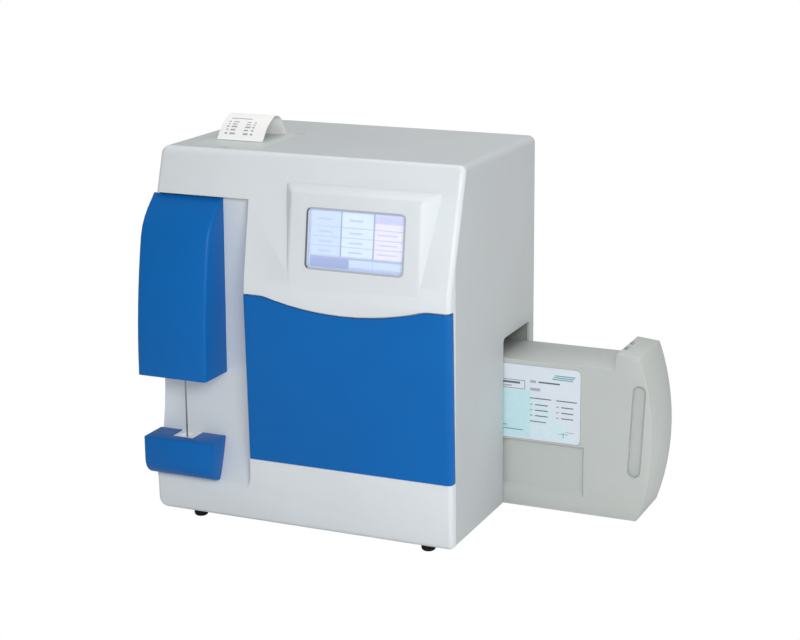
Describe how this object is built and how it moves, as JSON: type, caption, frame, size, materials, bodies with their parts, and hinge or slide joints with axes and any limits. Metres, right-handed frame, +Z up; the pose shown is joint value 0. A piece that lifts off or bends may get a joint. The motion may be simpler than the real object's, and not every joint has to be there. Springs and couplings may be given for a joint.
{
  "type": "electrolyte analyzer",
  "caption": "Bench-top clinical analyzer with a touch screen in a raised frame, sampler probe over a wash cup, blue front door, thermal printer and a reagent pack that slides in from the side.",
  "frame": {"origin": "bottom centre of the whole part's box with the reagent pack drawn out, on the plane under the feet", "axes": "+X to the right of someone facing the screen, where the pack comes out; +Y to the back; +Z up"},
  "size_m": [0.5404, 0.2712, 0.4495],
  "materials": {
    "white_case": "satin",
    "cover_grey": "satin",
    "blue": "satin",
    "pack_grey": "satin",
    "white": "satin",
    "paper": "matte paper",
    "black": "matt",
    "rubber": "matt",
    "steel": "ground",
    "zinc": "zinc plated",
    "glass": "clear",
    "clear": "clear",
    "board_green": "solder mask"
  },
  "bodies": {
    "case": {"front_fascia": "white_case", "main_cover": "cover_grey", "sampler_cover": "blue", "sampler_base": "blue", "wash_cup": "white", "door_pin_lower": "steel", "door_pin_upper": "steel", "drive_frame": "zinc", "guide_rod_left": "steel", "guide_rod_right": "steel", "stepper_motor": "black", "touch_panel": "glass", "lcd_module": "black", "printer_bucket": "black", "print_mechanism": "zinc", "paper_roll": "paper", "base_plate": "zinc", "rear_panel": "zinc", "bulkhead": "zinc", "foot_front_left": "rubber", "foot_front_right": "rubber", "foot_rear_left": "rubber", "foot_rear_right": "rubber", "power_inlet": "black", "serial_port": "steel", "fan_frame": "black", "power_supply": "zinc", "main_board": "board_green", "pack_bay": "white", "docking_block": "black", "fluidics_tray": "white", "electrode_rail": "zinc", "electrode_reference": "white", "electrode_chloride": "clear", "electrode_sodium": "clear", "electrode_potassium": "clear", "sample_detector": "black", "pump_head": "pack_grey", "pump_tube": "clear", "sample_tube": "clear", "fluid_manifold": "clear", "pump_motor": "black"},
    "door": {"front_door": "blue"},
    "lid": {"printer_lid": "cover_grey", "paper_strip": "paper"},
    "pack": {"reagent_pack": "pack_grey", "pack_label": "white", "pack_ports": "white"},
    "probe": {"probe_carriage": "black", "probe_needle": "steel"},
    "screw": {"lead_screw": "steel"},
    "latch": {"electrode_latch": "blue"},
    "rotor": {"pump_rotor": "zinc"},
    "roller_1": {"pump_roller_1": "white"},
    "roller_2": {"pump_roller_2": "white"},
    "roller_3": {"pump_roller_3": "white"},
    "platen": {"platen_roller": "rubber"},
    "switch": {"power_switch": "black"},
    "fan": {"fan_rotor": "black"}
  },
  "joints": [
    {"name": "door_hinge", "type": "hinge", "parent": "case", "child": "door", "pos_m": [-0.14135, -0.11529, 0.18163], "axis": [0, 0.0262, -0.9997], "range_deg": [0, 90]},
    {"name": "lid_hinge", "type": "hinge", "parent": "case", "child": "lid", "pos_m": [-0.19785, 0.0506, 0.421], "axis": [-1, 0, 0], "range_deg": [0, 90]},
    {"name": "pack_slide", "type": "slide", "parent": "case", "child": "pack", "axis": [1, 0, 0], "range_m": [-0.154, 0.06]},
    {"name": "probe_slide", "type": "slide", "parent": "case", "child": "probe", "axis": [0, 0, 1], "range_m": [0, 0.065]},
    {"name": "screw_turn", "type": "hinge", "parent": "case", "child": "screw", "pos_m": [-0.22655, -0.0578, 0.25775], "axis": [0, 0, 1], "range_deg": [0, 2340]},
    {"name": "latch_hinge", "type": "hinge", "parent": "case", "child": "latch", "pos_m": [-0.10485, -0.07468, 0.23526], "axis": [-1, 0, 0], "range_deg": [0, 20]},
    {"name": "pump_turn", "type": "hinge", "parent": "case", "child": "rotor", "pos_m": [0.02815, -0.06549, 0.18029], "axis": [0, 0.9997, 0.0262], "continuous": true},
    {"name": "roller_1_turn", "type": "hinge", "parent": "rotor", "child": "roller_1", "pos_m": [0.02815, -0.07322, 0.19469], "axis": [0, 0.9997, 0.0262], "continuous": true},
    {"name": "roller_2_turn", "type": "hinge", "parent": "rotor", "child": "roller_2", "pos_m": [0.01551, -0.07264, 0.1728], "axis": [0, 0.9997, 0.0262], "continuous": true},
    {"name": "roller_3_turn", "type": "hinge", "parent": "rotor", "child": "roller_3", "pos_m": [0.04079, -0.07264, 0.1728], "axis": [0, 0.9997, 0.0262], "continuous": true},
    {"name": "platen_turn", "type": "hinge", "parent": "case", "child": "platen", "pos_m": [-0.19785, 0.0347, 0.402], "axis": [1, 0, 0], "continuous": true},
    {"name": "switch_rock", "type": "hinge", "parent": "case", "child": "switch", "pos_m": [-0.23385, 0.1306, 0.101], "axis": [1, 0, 0], "range_deg": [-8, 8]},
    {"name": "fan_turn", "type": "hinge", "parent": "case", "child": "fan", "pos_m": [0.01115, 0.1249, 0.324], "axis": [0, 1, 0], "continuous": true}
  ],
  "couplings": [
    {"joint": "screw_turn", "follows": "probe_slide", "rad_per_m": 628.32},
    {"joint": "roller_1_turn", "follows": "pump_turn", "ratio": -5.3333},
    {"joint": "roller_2_turn", "follows": "pump_turn", "ratio": -5.3333},
    {"joint": "roller_3_turn", "follows": "pump_turn", "ratio": -5.3333}
  ]
}
